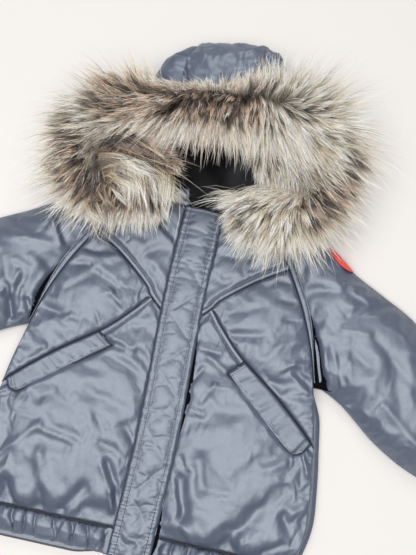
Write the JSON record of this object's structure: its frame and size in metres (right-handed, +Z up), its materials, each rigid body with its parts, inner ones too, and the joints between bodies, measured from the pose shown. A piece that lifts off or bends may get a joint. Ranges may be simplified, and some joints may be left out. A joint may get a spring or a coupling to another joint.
{
  "type": "hooded puffer jacket",
  "caption": "Child's padded bomber jacket with a fur-edged hood, raglan sleeves, storm flap, slanting welt pockets and elastic cuffs and hem, laid flat.",
  "frame": {"origin": "on the surface the jacket lies on, below the middle of the neckline", "axes": "+Z up from the surface, +Y towards the hood, +X towards the wearer's left sleeve"},
  "size_m": [1.0034, 0.677, 0.1167],
  "materials": {
    "shell": "satin slate-grey nylon over light padding",
    "lining": "black satin lining",
    "fur": "long brown and grey fur with cream tips",
    "zip": "dark zip tape and teeth",
    "patch": "plain red woven patch"
  },
  "bodies": {
    "root": {"arm_patch": "patch", "back_body": "shell", "cuff_left": "shell", "cuff_right": "shell", "front_chest_left": "shell", "front_chest_right": "shell", "front_lower_left": "shell", "front_lower_right": "shell", "front_yoke_left": "shell", "front_yoke_right": "shell", "fur_ruff": "fur", "hem_back": "shell", "hem_front_left": "shell", "hem_front_right": "shell", "hood_centre": "shell", "hood_lining_centre": "lining", "hood_lining_side_left": "lining", "hood_lining_side_right": "lining", "hood_side_left": "shell", "hood_side_right": "shell", "neck_lining": "lining", "pocket_welt_left": "shell", "pocket_welt_right": "shell", "sleeve_left": "shell", "sleeve_right": "shell", "storm_flap": "shell", "zip": "zip"}
  },
  "joints": []
}
